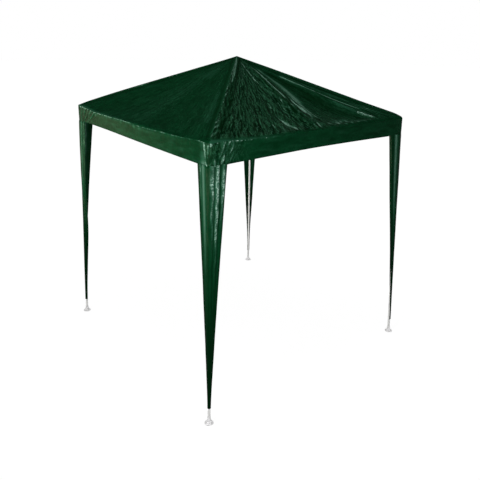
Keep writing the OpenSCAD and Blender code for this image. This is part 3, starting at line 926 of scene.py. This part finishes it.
class GAZEBO_OT_set_stage(Operator):
    """Sets the floor, the room light, the lamps and the camera."""
    bl_idname = "gazebo.set_stage"
    bl_label = "Set the stage"

    # The floor's radius in metres, its grey to the camera and to other light, and its glow to the camera
    floor_radius = 40
    floor_seen, floor_thrown = 0.85, 0.26
    floor_glow, floor_glow_share = 1.13, 0.76

    def execute(self, context):
        stage = context.scene.gazebo_stage
        context.scene.view_settings.view_transform = "Standard"
        self.floor()
        self.room(context, stage.light)
        self.lamp("key_softbox", (-4.6, -1.6, 1.9), (-0.9, -0.7, 1.8), size=1.2, power=21, cone=70)
        self.lamp("front_softbox", (-2.1, -4.6, 1.7), (-0.9, -1.0, 1.7), size=0.8, power=11.3, cone=60)
        self.lamp("back_softbox", (4.2, 2.2, 3.9), (0.2, -0.4, 2.2), size=1.4, power=0.8)
        self.lamp("left_wall", (-2.6, 4.2, 1.3), (-0.95, 0.6, 1.85), size=1.6, power=2.7, cone=90,
                  colour=(0.95, 0.97, 0.6))
        self.lamp("left_softbox", (-4.6, 1.0, 0.6), (-0.95, 0.45, 1.85), size=1.2, power=15.6, cone=50,
                  colour=(1.0, 1.0, 0.75))
        self.camera(context, stage)
        return {"FINISHED"}

    def floor(self):
        """A wide floor that is pale to the camera and throws little light back."""
        bm = bmesh.new()
        bmesh.ops.create_circle(bm, cap_ends=True, segments=96, radius=self.floor_radius)
        mesh = bpy.data.meshes.new("floor")
        bm.to_mesh(mesh)
        bm.free()
        floor = bpy.data.objects.new("floor", mesh)
        bpy.context.scene.collection.objects.link(floor)
        g = Graph(bpy.data.materials.new("pale_floor"))
        seen = g.node("ShaderNodeLightPath", out="Is Camera Ray")
        paint = g.blend(seen, grey(self.floor_thrown), grey(self.floor_seen))
        g.feed(Base_Color=paint, Roughness=0.9, Specular_IOR_Level=0.0)
        painted = Sock(g, g.found("ShaderNodeBsdfPrincipled").outputs[0])
        glow = g.node("ShaderNodeEmission", None, {"Color": grey(1.0), "Strength": self.floor_glow})
        mixed = g.node("ShaderNodeMixShader", None, {0: seen * self.floor_glow_share, 1: painted, 2: glow})
        g.fill(g.found("ShaderNodeOutputMaterial"), {"Surface": mixed})
        mesh.materials.append(g.owner)

    def room(self, context, strength):
        """White to the camera, dim walls in what is mirrored, and an even light for the rest."""
        context.scene.world = bpy.data.worlds.new("studio_room")
        g = Graph(context.scene.world)
        g.tree.nodes.remove(g.found("ShaderNodeBackground"))
        up = g.part(g.node("ShaderNodeTexCoord", out="Generated"), "Z")
        walls = g.ramp(up, (0.0, 0.08), (0.1, 0.03), (0.3, 0.016), (0.5, 0.023), (1.0, 0.016))
        mirrored = g.node("ShaderNodeBackground", None, {"Color": walls})
        even = g.node("ShaderNodeBackground", None, {"Color": grey(1.0), "Strength": strength})
        white = g.node("ShaderNodeBackground", None, {"Color": grey(1.0)})
        glossy = g.node("ShaderNodeLightPath", out="Is Glossy Ray")
        through = g.node("ShaderNodeLightPath", out="Is Transmission Ray")
        seen = g.node("ShaderNodeLightPath", out="Is Camera Ray")
        shiny = g.node("ShaderNodeMath", {"operation": "MAXIMUM"}, {0: glossy, 1: through})
        lit = g.node("ShaderNodeMixShader", None, {0: shiny, 1: even, 2: mirrored})
        mixed = g.node("ShaderNodeMixShader", None, {0: seen, 1: lit, 2: white})
        g.fill(g.found("ShaderNodeOutputWorld"), {"Surface": mixed})

    def lamp(self, name, place, aim, size, power, cone=180, colour=(1, 1, 1)):
        """A square lamp at a place, aimed at a point, with its cone of light in degrees."""
        data = bpy.data.lights.new(name, "AREA")
        data.color = colour
        data.shape = "SQUARE"
        data.size = size
        data.energy = power
        data.spread = math.radians(cone)
        lamp = bpy.data.objects.new(name, data)
        lamp.location = place
        lamp.rotation_euler = (Vector(aim) - Vector(place)).to_track_quat("-Z", "Y").to_euler()
        bpy.context.scene.collection.objects.link(lamp)

    def camera(self, context, stage):
        """A camera that looks down at the front left corner."""
        az, el, roll = stage.azimuth, stage.elevation, stage.roll
        back = Vector((math.sin(az) * math.cos(el), -math.cos(az) * math.cos(el), math.sin(el)))
        right = Vector((0, 0, 1)).cross(back).normalized()
        up = back.cross(right)
        right, up = right * math.cos(roll) + up * math.sin(roll), up * math.cos(roll) - right * math.sin(roll)
        data = bpy.data.cameras.new("camera")
        data.lens = stage.focal * data.sensor_width
        data.shift_y = stage.shift
        camera = bpy.data.objects.new("camera", data)
        turn = Matrix((right, up, back)).transposed().to_4x4()
        camera.matrix_world = Matrix.Translation(stage.place) @ turn
        context.scene.collection.objects.link(camera)
        context.scene.camera = camera


class GAZEBO_PT_dressing(Panel):
    """Lists the steps in order, with their sizes."""
    bl_label = "Gazebo dressing"
    bl_idname = "GAZEBO_PT_dressing"
    bl_space_type = "VIEW_3D"
    bl_region_type = "UI"
    bl_category = "Gazebo"

    def draw(self, context):
        for step in STEPS:
            self.layout.operator(step.bl_idname)
        for name in GROUPS:
            group = getattr(context.scene, name)
            box = self.layout.box()
            for key in group.__annotations__:
                box.prop(group, key)


STEPS = (GAZEBO_OT_finish_frame, GAZEBO_OT_make_finishes, GAZEBO_OT_make_roof, GAZEBO_OT_make_valance,
         GAZEBO_OT_make_drapes, GAZEBO_OT_set_stage)
GROUPS = {"gazebo_cover": CoverSizes, "gazebo_folds": CoverFolds, "gazebo_colours": FinishColours,
          "gazebo_stage": StageSizes}


def register():
    for group in GROUPS.values():
        bpy.utils.register_class(group)
    for step in STEPS:
        bpy.utils.register_class(step)
    bpy.utils.register_class(GAZEBO_PT_dressing)
    for name, group in GROUPS.items():
        setattr(bpy.types.Scene, name, PointerProperty(type=group))


def unregister():
    for name in GROUPS:
        delattr(bpy.types.Scene, name)
    for made in (GAZEBO_PT_dressing, *reversed(STEPS), *GROUPS.values()):
        bpy.utils.unregister_class(made)


def main():
    register()
    bpy.ops.gazebo.finish_frame()
    bpy.ops.gazebo.make_finishes()
    bpy.ops.gazebo.make_roof()
    bpy.ops.gazebo.make_valance()
    bpy.ops.gazebo.make_drapes()
    bpy.ops.gazebo.set_stage()


if __name__ == "__main__":
    main()
